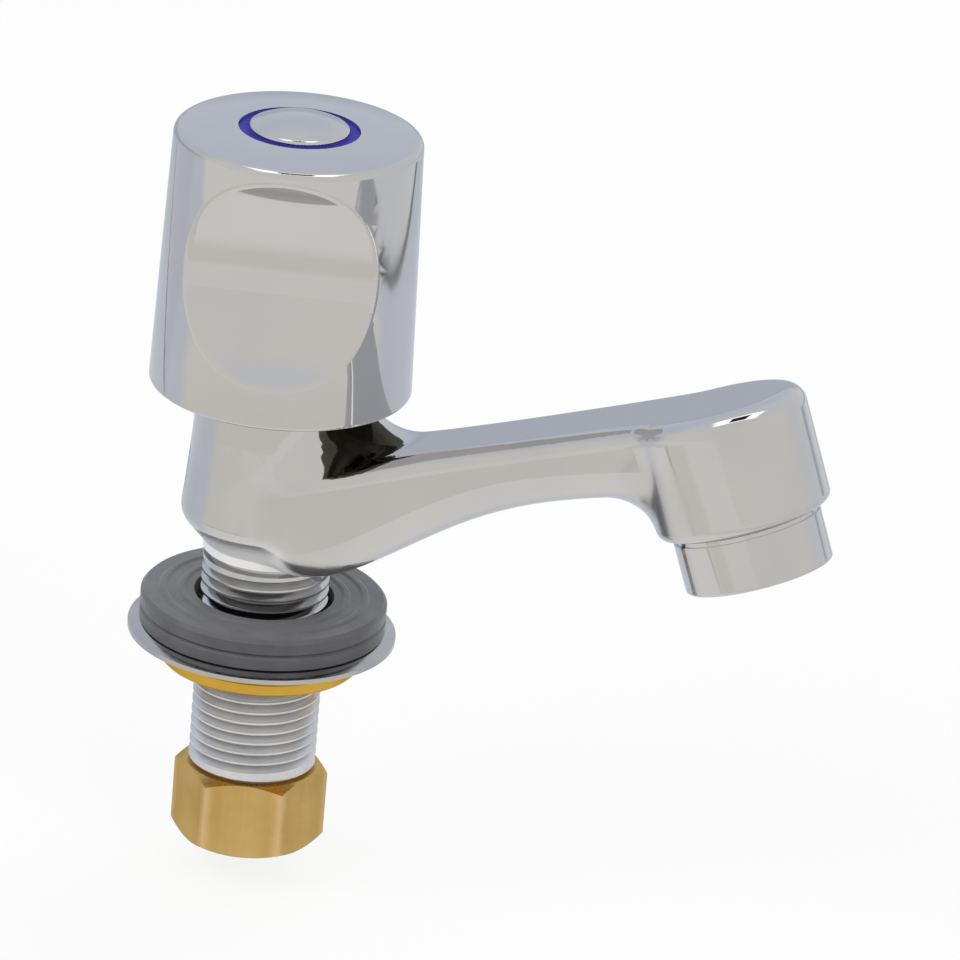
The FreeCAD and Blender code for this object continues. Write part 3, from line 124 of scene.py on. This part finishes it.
# Colours that a noise mixes, from dark to light, and their stops where they aren't NOISE
CHROME = ((0.563, 0.564, 0.571), (0.597, 0.593, 0.586))
TAIL_BRIGHT = ((0.50, 0.505, 0.51), (0.58, 0.58, 0.58))
TAIL_DULL = ((0.62, 0.63, 0.655), (0.73, 0.735, 0.745))
STEEL = ((0.423, 0.423, 0.4324), (0.4982, 0.4935, 0.4888))
RUBBER = ((0.062, 0.062, 0.067), (0.088, 0.088, 0.095), (0.12, 0.12, 0.127))
# Painted sheen: the rubber's lighter colour on the faces that look up
TOP_SHEEN = ((0.115, 0.115, 0.122), (0.150, 0.150, 0.158), (0.185, 0.185, 0.192))
RUBBER_STOPS = (0.3, 0.6, 0.8)
# The handle's inside: raw casting, darkened as painted shade
SHADED_CASTING = ((0.075, 0.070, 0.055), (0.130, 0.118, 0.085), (0.24, 0.205, 0.140))
CASTING_STOPS = (0.3, 0.55, 0.75)
BLUE_PLASTIC = ((0.016, 0.015, 0.35), (0.032, 0.028, 0.45))
WHITE_PLASTIC = ((0.62, 0.62, 0.60), (0.74, 0.74, 0.72))

# Brass: its own colour, the colour that it mirrors at a low angle, and the parts of the first that
# make its shades
BRASS = (0.590, 0.398, 0.145)
BRASS_EDGE = (1.0, 0.88, 0.62)
NUT_BRASS = (0.66, 0.400, 0.060)
NUT_EDGE = (1.0, 0.78, 0.34)
BRASS_DARK = (0.87, 0.83, 0.76)
BRASS_LIGHT = (1.05, 1.06, 1.12)
BRASS_STOPS = (0.30, 0.55, 0.75)
TARNISHED = (0.74, 0.66, 0.60)
# Painted highlight: the lighter colour of the adapter's corners, as parts of the brass's own
CORNER_HIGHLIGHT = (1.16, 1.20, 1.60)

# How a tool's lines are stretched: turned ones run round the axis, drawn ones along it
TURNED = (0.15, 0.15, 4.0)
DRAWN = (3.0, 3.0, 0.12)
TURNED_FINE = (0.12, 0.12, 3.0)

# The adapter's corners, by their reach from its axis: tarnished first, then lightened by a painted
# highlight. The borders wander a little
TARNISHED_BAND = (11.5 * MM, 12.0 * MM, 0.5 * MM)
TARNISHED_SHARE = 0.35
CORNER_HIGHLIGHT_FROM = (12.0 * MM, 12.8 * MM)
WANDER = 0.1 * MM

# The body's satin foot: it fades in from FOOT_TOP down to FOOT_LOW, within FOOT_R of the axis
FOOT_TOP = 7.0 * MM
FOOT_LOW = 3.0 * MM
FOOT_R = 14.8 * MM
FOOT_FADE = 2.0 * MM
FOOT = (0.90, 0.90, 0.90)
FOOT_METALLIC = 0.35
FOOT_ROUGHER = 0.42

# Hollows that a polishing wheel hardly reaches, on both sides of the arm: under the head and at the
# arm's root. Each has its place and its reach, and is dull up to HOLLOW_FULL of that. The second
# pair is there on the body's back too
HOLLOWS = (((76.3 * MM, 12.0 * MM, 32.0 * MM), 10.5 * MM),
           ((13.5 * MM, 12.4 * MM, 10.5 * MM), 12.0 * MM))
HOLLOW_FULL = 0.4
HOLLOW_ROUGHER = 0.185

# The tail's thread, from its grooves to its crests, with painted shade in the grooves, and the
# heights between which it turns dull
GROOVE_R = 9.5 * MM
CREST_R = 10.3 * MM
GROOVE_SHADE = (0.24, 0.235, 0.24)
GROOVE_FLOOR = 0.70
TAIL_DULL_Z = -26.0 * MM
TAIL_BRIGHT_Z = -19.0 * MM

# Rubber is drawn lighter, a painted sheen, on the faces that look up: how far up, where it begins and
# is full
TOP_SHEEN_FROM = (0.5, 0.95)

# The handle's bores, as radius and height, and the flat under its skirt, where the inside takes
# painted shade
BORES = ((18.7 * MM, 34.7 * MM), (15.3 * MM, 38.4 * MM), (12.5 * MM, 66.0 * MM))
UNDERSIDE = 28.85 * MM


def place_camera():
    """The camera at the photograph's viewing angle."""
    pitch, yaw, roll = (math.radians(a) for a in (CAMERA_PITCH, CAMERA_YAW, CAMERA_ROLL))
    spot = Vector((0, -CAMERA_DISTANCE * math.cos(pitch),
                   CAMERA_AIM_Z + CAMERA_DISTANCE * math.sin(pitch)))
    ahead = Vector((0, math.cos(pitch), -math.sin(pitch)))
    right = Vector((1, 0, 0))
    up = right.cross(ahead)
    ahead, right = (math.cos(yaw) * ahead + math.sin(yaw) * right,
                    -math.sin(yaw) * ahead + math.cos(yaw) * right)
    right, up = (math.cos(roll) * right + math.sin(roll) * up,
                 -math.sin(roll) * right + math.cos(roll) * up)
    turn = Matrix.Rotation(math.radians(CAMERA_AZIMUTH), 3, "Z")
    data = bpy.data.cameras.new("photo_camera")
    data.sensor_width = SENSOR
    data.lens = CAMERA_LENS
    data.clip_start = CLIP_NEAR
    data.clip_end = CLIP_FAR
    camera = bpy.data.objects.new("photo_camera", data)
    bpy.context.scene.collection.objects.link(camera)
    axes = Matrix((turn @ right, turn @ up, turn @ -ahead)).transposed()
    camera.matrix_world = Matrix.Translation(turn @ spot) @ axes.to_4x4()
    bpy.context.scene.camera = camera


class Tree:
    """A node tree, built in a few words. A value is a socket, a number or a colour."""

    def __init__(self, tree):
        self.tree = tree

    def add(self, kind, **settings):
        """A new node with its settings."""
        node = self.tree.nodes.new(kind)
        for key, value in settings.items():
            setattr(node, key, value)
        return node

    def fill(self, socket, value):
        """Link a socket to a value, or set it to that."""
        if isinstance(value, bpy.types.NodeSocket):
            self.tree.links.new(value, socket)
        elif isinstance(value, tuple) and socket.type == "RGBA":
            socket.default_value = (*value, 1.0)
        else:
            socket.default_value = value

    def maths(self, kind, first, second):
        """A sum with one or two numbers."""
        node = self.add("ShaderNodeMath", operation=kind)
        self.fill(node.inputs[0], first)
        self.fill(node.inputs[1], second)
        return node.outputs[0]

    def times(self, first, *others):
        """Some numbers multiplied."""
        for other in others:
            first = self.maths("MULTIPLY", first, other)
        return first

    def vectors(self, kind, first, second=None):
        """The node of a sum with one or two vectors."""
        node = self.add("ShaderNodeVectorMath", operation=kind)
        self.fill(node.inputs[0], first)
        if second is not None:
            self.fill(node.inputs[1], second)
        return node

    def along(self, place, axis):
        """How far a place or a direction reaches along an axis."""
        return self.vectors("DOT_PRODUCT", place, axis).outputs["Value"]

    def length(self, place):
        """How far a place is from the origin."""
        return self.vectors("LENGTH", place).outputs["Value"]

    def ramp(self, value, low, high, start=0.0, end=1.0, kind="LINEAR"):
        """Map start..end of a value onto low..high."""
        node = self.add("ShaderNodeMapRange", interpolation_type=kind)
        node.inputs["From Min"].default_value = start
        node.inputs["From Max"].default_value = end
        node.inputs["To Min"].default_value = low
        node.inputs["To Max"].default_value = high
        self.fill(node.inputs["Value"], value)
        return node.outputs["Result"]

    def step(self, value, start, end):
        """Rise smoothly from nought to one between start and end."""
        return self.ramp(value, 0.0, 1.0, start, end, "SMOOTHSTEP")

    def between(self, value, low, high, soft):
        """One between low and high, nought outside, with soft edges."""
        rise = self.step(value, low - soft, low + soft)
        fall = self.ramp(value, 1.0, 0.0, high - soft, high + soft, "SMOOTHSTEP")
        return self.times(rise, fall)

    def colours(self, value, colours, stops=NOISE):
        """Colours at their stops along a value."""
        node = self.add("ShaderNodeValToRGB")
        band = node.color_ramp
        while len(band.elements) < len(stops):
            band.elements.new(0.5)
        for element, stop, colour in zip(band.elements, stops, colours):
            element.position = stop
            element.color = (*colour, 1.0)
        self.fill(node.inputs["Fac"], value)
        return node.outputs["Color"]

    def mixed(self, share, first, second):
        """Mix two colours by a value."""
        node = self.add("ShaderNodeMix", data_type="RGBA")
        self.fill(node.inputs[0], share)
        self.fill(node.inputs[6], first)
        self.fill(node.inputs[7], second)
        return node.outputs[2]

    def layered(self, share, first, second):
        """Mix two shaders by a value."""
        node = self.add("ShaderNodeMixShader")
        self.fill(node.inputs[0], share)
        self.fill(node.inputs[1], first)
        self.fill(node.inputs[2], second)
        return node.outputs[0]

    def seen_by(self, *rays):
        """One for the named kinds of ray."""
        path = self.add("ShaderNodeLightPath")
        share = path.outputs[rays[0]]
        for ray in rays[1:]:
            share = self.maths("MAXIMUM", share, path.outputs[ray])
        return share

    def background(self, colour, strength=1.0):
        """The world's shader in a colour."""
        node = self.add("ShaderNodeBackground")
        self.fill(node.inputs["Color"], colour)
        node.inputs["Strength"].default_value = strength
        return node.outputs[0]

    def glow(self, colour):
        """A surface that shines in a colour."""
        node = self.add("ShaderNodeEmission")
        self.fill(node.inputs["Color"], colour)
        return node.outputs[0]


class Shader(Tree):
    """A material's node tree."""

    def __init__(self, name):
        self.material = bpy.data.materials.new(name)
        self.material.use_nodes = True
        super().__init__(self.material.node_tree)
        self.principled = self.tree.nodes["Principled BSDF"]
        self.place = self.add("ShaderNodeTexCoord").outputs["Object"]

    def stretched(self, scale):
        """Object coordinates with their own scale on each axis."""
        node = self.add("ShaderNodeMapping")
        node.inputs["Scale"].default_value = scale
        self.fill(node.inputs["Vector"], self.place)
        return node.outputs["Vector"]

    def height(self):
        """How high above the body's foot."""
        return self.along(self.place, UP)

    def round_axis(self):
        """How far from the tail's axis."""
        return self.length(self.stretched((1, 1, 0)))

    def from_mirrored(self, spot):
        """How far from the nearest of a spot and its mirror images across the three main planes."""
        fold = self.vectors("ABSOLUTE", self.place).outputs["Vector"]
        return self.vectors("DISTANCE", fold, spot).outputs["Value"]

    def noise(self, scale, detail=3.0, rough=0.5, place=None):
        """Noise with a number of waves per metre."""
        node = self.add("ShaderNodeTexNoise")
        node.inputs["Scale"].default_value = scale
        node.inputs["Detail"].default_value = detail
        node.inputs["Roughness"].default_value = rough
        self.fill(node.inputs["Vector"], place or self.place)
        return node.outputs["Fac"]

    def relief(self, height, strength, distance):
        """Fine relief from a value, as deep as a distance in metres."""
        node = self.add("ShaderNodeBump")
        node.inputs["Strength"].default_value = strength
        node.inputs["Distance"].default_value = distance
        self.fill(node.inputs["Height"], height)
        self.fill(self.principled.inputs["Normal"], node.outputs["Normal"])

    def set(self, **values):
        """Values by socket name, written with underscores."""
        for key, value in values.items():
            self.fill(self.principled.inputs[key.replace("_", " ")], value)


def shade(tint, parts):
    """A colour with its red, green and blue changed by their own parts."""
    return tuple(value * part for value, part in zip(tint, parts))


def plating(s):
    """Bright plating: faint mottling, wiped smears and a slow ripple. Gives colour and roughness."""
    mottle = s.noise(55.0, detail=4.0)
    smear = s.noise(130.0, detail=5.0, rough=0.65, place=s.stretched((1, 1, 0.35)))
    s.relief(s.noise(90.0, detail=2.0), strength=0.05, distance=0.4 * MM)
    return s.colours(mottle, CHROME), s.ramp(smear, 0.03, 0.085, 0.35, 0.75)


def polished_chrome(name):
    """Plating that is polished all over."""
    s = Shader(name)
    colour, rough = plating(s)
    s.set(Metallic=1.0, Base_Color=colour, Roughness=rough)
    return s.material


def body_chrome(name):
    """The body's plating: satin on its foot, duller in the hollows beside the arm."""
    s = Shader(name)
    colour, rough = plating(s)
    foot = s.times(s.step(s.height(), FOOT_TOP, FOOT_LOW),
                   s.step(s.round_axis(), FOOT_R + FOOT_FADE, FOOT_R))
    dull = s.ramp(foot, 0.0, FOOT_ROUGHER)
    for spot, reach in HOLLOWS:
        hollow = s.ramp(s.from_mirrored(spot), 0.0, HOLLOW_ROUGHER, reach, HOLLOW_FULL * reach,
                        "SMOOTHSTEP")
        dull = s.maths("MAXIMUM", dull, hollow)
    s.set(Metallic=s.ramp(foot, 1.0, FOOT_METALLIC), Base_Color=s.mixed(foot, colour, FOOT),
          Roughness=s.maths("ADD", rough, dull))
    return s.material


def plated_thread(name):
    """The tail: bright plating under the body, dull and finely turned further down, with painted
    shade in its grooves.
    """
    s = Shader(name)
    low = s.ramp(s.height(), 1.0, 0.0, TAIL_DULL_Z, TAIL_BRIGHT_Z)
    blotch = s.noise(160.0, detail=5.0, rough=0.6)
    turned = s.noise(900.0, detail=4.0, place=s.stretched(TURNED_FINE))
    crest = s.mixed(low, s.colours(blotch, TAIL_BRIGHT), s.colours(blotch, TAIL_DULL))
    # Painted shade: the colour darkens from the crests down into the grooves
    lit = s.ramp(s.round_axis(), GROOVE_FLOOR, 1.0, GROOVE_R, CREST_R, "SMOOTHSTEP")
    s.set(Metallic=s.ramp(low, 1.0, 0.75), Base_Color=s.mixed(lit, GROOVE_SHADE, crest),
          Roughness=s.maths("ADD", s.ramp(low, 0.07, 0.34), s.ramp(turned, -0.02, 0.06)))
    s.relief(turned, strength=0.2, distance=0.05 * MM)
    return s.material


def brass(name, tint=BRASS, edge=BRASS_EDGE, rough=0.24, lines=TURNED, depth=0.3, corners=False):
    """Turned, milled or drawn brass with fine lines and slight tarnish. Corners can carry a painted
    highlight.
    """
    s = Shader(name)
    patch = s.noise(85.0, detail=5.0, rough=0.6)
    tool = s.noise(700.0, detail=4.0, place=s.stretched(lines))
    colour = s.colours(patch, (shade(tint, BRASS_DARK), tint, shade(tint, BRASS_LIGHT)), BRASS_STOPS)
    if corners:
        wander = s.ramp(s.noise(260.0, detail=4.0), -WANDER, WANDER, *NOISE)
        reach = s.maths("ADD", s.round_axis(), wander)
        tarnish = s.times(s.between(reach, *TARNISHED_BAND), TARNISHED_SHARE)
        colour = s.mixed(tarnish, colour, shade(tint, TARNISHED))
        # Painted highlight lightens the corners
        colour = s.mixed(s.step(reach, *CORNER_HIGHLIGHT_FROM), colour, shade(tint, CORNER_HIGHLIGHT))
    s.set(Metallic=1.0, Specular_Tint=edge, Base_Color=colour,
          Roughness=s.ramp(tool, rough - 0.06, rough + 0.12, *NOISE))
    s.relief(tool, strength=depth, distance=0.05 * MM)
    return s.material


def steel(name):
    """Bright zinc on pressed steel, a little dull in patches."""
    s = Shader(name)
    patch = s.noise(120.0, detail=5.0)
    grain = s.noise(700.0, detail=3.0)
    s.set(Metallic=1.0, Base_Color=s.colours(patch, STEEL),
          Roughness=s.ramp(grain, 0.08, 0.21, *NOISE))
    s.relief(grain, strength=0.08, distance=0.03 * MM)
    return s.material


def rubber(name):
    """Moulded rubber with a fine skin and a bloom, and a painted sheen on the faces that look up."""
    s = Shader(name)
    bloom = s.noise(140.0, detail=6.0, rough=0.6)
    grain = s.noise(2600.0, detail=4.0, rough=0.6)
    skin = s.colours(bloom, RUBBER, RUBBER_STOPS)
    top_sheen = s.colours(bloom, TOP_SHEEN, RUBBER_STOPS)
    facing = s.along(s.add("ShaderNodeTexCoord").outputs["Normal"], UP)
    # Painted sheen lightens the faces that look up
    s.set(Metallic=0.0, Sheen_Weight=0.30, Sheen_Roughness=0.4,
          Base_Color=s.mixed(s.step(facing, *TOP_SHEEN_FROM), skin, top_sheen),
          Roughness=s.ramp(grain, 0.36, 0.56, *NOISE))
    s.relief(grain, strength=0.3, distance=0.06 * MM)
    return s.material


def plastic(name, colours, rough, gloss=0.5):
    """Moulded plastic, faintly uneven in colour and gloss."""
    s = Shader(name)
    patch = s.noise(220.0, detail=4.0)
    grain = s.noise(1800.0, detail=3.0)
    s.set(Base_Color=s.colours(patch, colours), Specular_IOR_Level=gloss,
          Roughness=s.ramp(grain, rough - 0.06, rough + 0.1, *NOISE))
    s.relief(grain, strength=0.2, distance=0.03 * MM)
    return s.material


def shaded_raw_casting(name):
    """The dull inside of the handle's casting, drawn dark as painted shade."""
    s = Shader(name)
    stain = s.noise(110.0, detail=6.0, rough=0.65)
    grain = s.noise(900.0, detail=4.0)
    s.set(Specular_IOR_Level=0.3, Base_Color=s.colours(stain, SHADED_CASTING, CASTING_STOPS),
          Roughness=s.ramp(grain, 0.45, 0.7, *NOISE))
    s.relief(grain, strength=0.4, distance=0.1 * MM)
    return s.material


def dress(node, material):
    """Give a CAD piece one material."""
    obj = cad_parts[node]
    obj.data.materials.clear()
    obj.data.materials.append(material)
    return obj


def dress_shaded_inside(obj, material):
    """A second material, dark with painted shade, on the faces of the handle's bores and underside.
    """
    obj.data.materials.append(material)
    for face in obj.data.polygons:
        spot = obj.matrix_world @ face.center
        reach = math.hypot(spot.x, spot.y)
        if spot.z < UNDERSIDE or any(reach < radius and spot.z < height for radius, height in BORES):
            face.material_index = 1


def dress_tap():
    """The material of each CAD piece."""
    chrome = polished_chrome("polished_chrome")
    dress("spout_body", body_chrome("chrome_body"))
    for node in ("index_button", "aerator_housing"):
        dress(node, chrome)
    dress_shaded_inside(dress("handle_shell", chrome), shaded_raw_casting("shaded_raw_casting"))
    dress("threaded_tail", plated_thread("plated_thread"))
    dress("inlet_adapter", brass("brass_adapter", rough=0.19, lines=DRAWN, depth=0.10, corners=True))
    for node in ("bonnet", "spindle", "valve_carrier", "jumper_screw", "handle_bush"):
        dress(node, brass("brass_" + node))
    dress("back_nut", brass("brass_nut", NUT_BRASS, NUT_EDGE, rough=0.26))
    for node in ("cup_washer", "spindle_circlip", "handle_screw", "aerator_screen"):
        dress(node, steel("steel_" + node))
    black = rubber("rubber")
    for node in ("upper_rubber_washer", "lower_rubber_washer", "inlet_o_ring", "bonnet_seal",
                 "spindle_o_rings", "jumper_washer", "aerator_washer"):
        dress(node, black)
    dress("index_ring", plastic("blue_plastic", BLUE_PLASTIC, rough=0.36, gloss=0.12))
    dress("aerator_insert", plastic("white_plastic", WHITE_PLASTIC, rough=0.4))


def room():
    """White for the camera, a plain light for the object, and the room that metal mirrors."""
    world = bpy.data.worlds.new("studio")
    bpy.context.scene.world = world
    world.use_nodes = True
    t = Tree(world.node_tree)
    t.tree.nodes.clear()
    way = t.add("ShaderNodeTexCoord").outputs["Generated"]
    away, right, up = (t.along(way, axis) for axis in (AWAY, RIGHT, UP))
    cool = t.colours(up, (HORIZON, HORIZON, COOL_HIGH), SKY_STOPS)
    cool = t.mixed(t.step(right, *SIDE_FROM), cool, BESIDE_RIGHT)
    seen = t.mixed(t.step(away, *BACK_FROM), WARM, cool)
    seen = t.mixed(t.step(up, *CEILING_FROM), seen, CEILING)
    overhead = t.step(up, *OVERHEAD_FROM)
    for across, along, colour in ((BOX_ACROSS, BOX_ALONG, SOFT_BOX),
                                  (OPENING_ACROSS, OPENING_ALONG, DARK)):
        share = t.times(t.between(right, *across), t.between(away, *along), overhead)
        seen = t.mixed(share, seen, colour)

    lit = t.layered(t.seen_by(*MIRRORED), t.background(LIGHT, LIGHT_STRENGTH), t.background(seen))
    shown = t.layered(t.seen_by("Is Camera Ray"), lit, t.background(WHITE))
    t.fill(t.add("ShaderNodeOutputWorld").inputs["Surface"], shown)


def table():
    """The pale floor. For the rays that metal mirrors it glows with a painted reflection of a sheet
    of paper under the tap and the table beside it.
    """
    bpy.ops.mesh.primitive_plane_add(size=FLOOR_SIZE, location=(0, 0, FLOOR_Z))
    floor = bpy.context.object
    floor.name = "floor"
    material = bpy.data.materials.new("floor")
    material.use_nodes = True
    t = Tree(material.node_tree)
    base = t.tree.nodes["Principled BSDF"]
    t.fill(base.inputs["Base Color"], FLOOR_COLOUR)
    base.inputs["Roughness"].default_value = FLOOR_ROUGH

    drawn = t.vectors("SCALE", t.add("ShaderNodeTexCoord").outputs["Object"])
    drawn.inputs["Scale"].default_value = DRAWN_FOR
    place = drawn.outputs["Vector"]
    away, right, reach = t.along(place, AWAY), t.along(place, RIGHT), t.length(place)
    tint = t.mixed(t.step(reach, *PAPER_FAR_FROM), PAPER, PAPER_FAR)
    tint = t.mixed(t.ramp(reach, 1.0, 0.0, *MAT_FADE, "SMOOTHSTEP"), tint, MAT)
    beside = t.step(t.maths("ABSOLUTE", right, 0.0), *RIM_FROM)
    tint = t.mixed(t.times(beside, t.between(reach, *RIM)), tint, MAT_RIM)
    # Painted shadow of the tap, in the cooler floor behind it
    tint = t.mixed(t.step(away, *SHADOWED_BEHIND_FROM), tint, SHADOWED_BEHIND)
    tint = t.mixed(t.step(away, *HORIZON_FROM), tint, HORIZON)
    far = t.step(away, *EDGES_FROM)
    tint = t.mixed(t.times(far, t.ramp(right, 1.0, 0.0, *LEFT_FADE)), tint, BESIDE_LEFT)
    tint = t.mixed(t.times(far, t.between(right, *LEFT_LINE)), tint, DARK)
    skew = t.maths("ADD", right, t.times(away, PAPER_SKEW))
    tint = t.mixed(t.step(skew, *RIGHT_FADE), tint, BESIDE_RIGHT)
    tint = t.mixed(t.between(skew, *RIGHT_LINE), tint, BLUR)
    tint = t.mixed(t.step(away, *HORIZON_LAST), tint, HORIZON)

    # Painted reflection: mirrored rays see the floor glow with the drawn picture
    lit = t.layered(t.seen_by(*MIRRORED), base.outputs[0], t.glow(tint))
    veil = t.times(t.seen_by("Is Camera Ray"), FLOOR_VEIL)
    shown = t.layered(veil, lit, t.glow(WHITE))
    t.fill(t.tree.nodes["Material Output"].inputs["Surface"], shown)
    floor.data.materials.append(material)


def lamps():
    """Soft lamps; the mirrored room gives their highlights."""
    for name, spot, width, power in LAMPS:
        data = bpy.data.lights.new(name, "AREA")
        data.shape = "SQUARE"
        data.size = width
        data.energy = power
        lamp = bpy.data.objects.new(name, data)
        bpy.context.scene.collection.objects.link(lamp)
        lamp.location = spot
        lamp.rotation_mode = "QUATERNION"
        lamp.rotation_quaternion = (Vector(LAMPS_AIM) - Vector(spot)).to_track_quat("-Z", "Y")
        lamp.visible_glossy = False


bpy.context.scene.view_settings.view_transform = "Standard"
place_camera()
room()
table()
lamps()
dress_tap()
